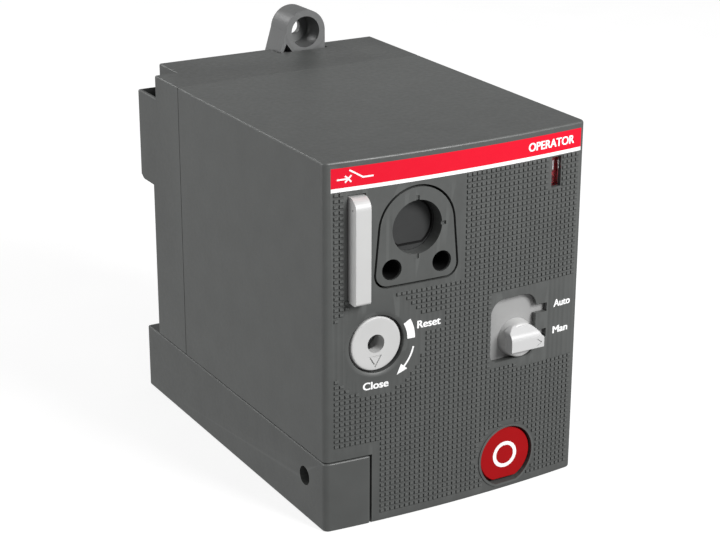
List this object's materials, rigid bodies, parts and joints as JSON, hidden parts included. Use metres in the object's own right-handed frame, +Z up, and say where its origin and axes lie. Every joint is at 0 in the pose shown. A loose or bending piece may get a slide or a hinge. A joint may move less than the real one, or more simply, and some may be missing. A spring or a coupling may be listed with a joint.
{
  "type": "circuit breaker remote operator",
  "caption": "Boxy grey operator that bolts over a moulded-case breaker and works its toggle, with hex-driven knob, auto/manual selector, lock plate, padlock slide and red trip button.",
  "frame": {"origin": "bottom centre of the bounding box, which takes in the selector handle in front and the fixing ear behind", "axes": "+Z up, the operating face looks along -Y, +X to the right as seen from the front"},
  "size_m": [0.09, 0.1388, 0.1286],
  "materials": {
    "case": "dark grey moulded plastic, fine satin grain",
    "frame": "mid grey moulded plastic",
    "pale": "light grey satin plastic",
    "white": "white satin plastic",
    "red": "red semi-gloss plastic",
    "band": "printed red film",
    "line": "printed white film",
    "black": "black moulded plastic",
    "nylon": "natural nylon",
    "steel": "zinc plated steel",
    "brass": "turned brass",
    "winding": "enamelled copper winding",
    "green": "printed green",
    "board": "green solder mask",
    "lens": "clear moulded window"
  },
  "bodies": {
    "case": {"front_cover": "case", "rear_housing": "case", "mounting_frame": "frame", "wiring_cover": "case", "wiring_cover_screw": "steel", "terminal_block": "black", "terminal_screw_1": "steel", "terminal_screw_2": "steel", "terminal_screw_3": "steel", "name_band": "band", "band_underline": "line", "lock_plate": "case", "lock_seat": "black", "lock_blank": "case", "lock_screw_left": "steel", "lock_screw_right": "steel", "slide_detent_spring": "steel", "front_bush": "brass", "rear_bush": "brass", "idler_pin": "steel", "front_chassis_plate": "steel", "chassis_bracket": "steel", "guide_rod_front": "steel", "guide_rod_rear": "steel", "chassis_post_1": "steel", "chassis_post_2": "steel", "chassis_post_3": "steel", "chassis_post_4": "steel", "close_coil": "winding", "close_yoke": "steel", "reset_coil": "winding", "reset_yoke": "steel", "selector_guide": "black", "selector_switch": "black", "rod_guide": "black", "trip_spring": "steel", "window_lens": "lens", "flag_backplate": "green", "circuit_board": "board", "board_relay": "black", "board_capacitor": "black", "upper_limit_switch": "black", "lower_limit_switch": "black"},
    "knob": {"reset_knob": "pale", "drive_shaft": "steel", "output_gear": "nylon", "shaft_clip": "steel"},
    "idler": {"idler_gear": "nylon"},
    "carriage": {"toggle_carriage": "nylon", "toggle_fork": "black", "close_plunger": "steel", "reset_plunger": "steel", "status_flag": "red", "flag_link": "steel"},
    "selector": {"selector_skirt": "pale", "selector_handle": "white", "selector_clip": "steel"},
    "padlock": {"padlock_slide": "pale"},
    "trip": {"trip_button": "red", "trip_rod": "steel"}
  },
  "joints": [
    {"name": "knob_turn", "type": "hinge", "parent": "case", "child": "knob", "pos_m": [-0.0281, -0.0636, 0.0579], "axis": [0, -1, 0], "range_deg": [0, 105]},
    {"name": "idler_turn", "type": "hinge", "parent": "case", "child": "idler", "pos_m": [-0.0061, -0.0026, 0.0579], "axis": [0, -1, 0], "range_deg": [-126, 0]},
    {"name": "carriage_travel", "type": "slide", "parent": "case", "child": "carriage", "axis": [0, 0, -1], "range_m": [0, 0.02199]},
    {"name": "selector_shift", "type": "slide", "parent": "case", "child": "selector", "axis": [0, 0, 1], "range_m": [0, 0.0083]},
    {"name": "padlock_pull", "type": "slide", "parent": "case", "child": "padlock", "axis": [0, -1, 0], "range_m": [0, 0.016]},
    {"name": "trip_push", "type": "slide", "parent": "case", "child": "trip", "axis": [0, 1, 0], "range_m": [0, 0.0035], "stiffness_N_per_m": 150, "springref_m": -0.004, "deforming": ["trip_spring"]}
  ],
  "couplings": [
    {"joint": "knob_turn", "follows": "carriage_travel", "rad_per_m": 83.333},
    {"joint": "idler_turn", "follows": "carriage_travel", "rad_per_m": -100}
  ]
}
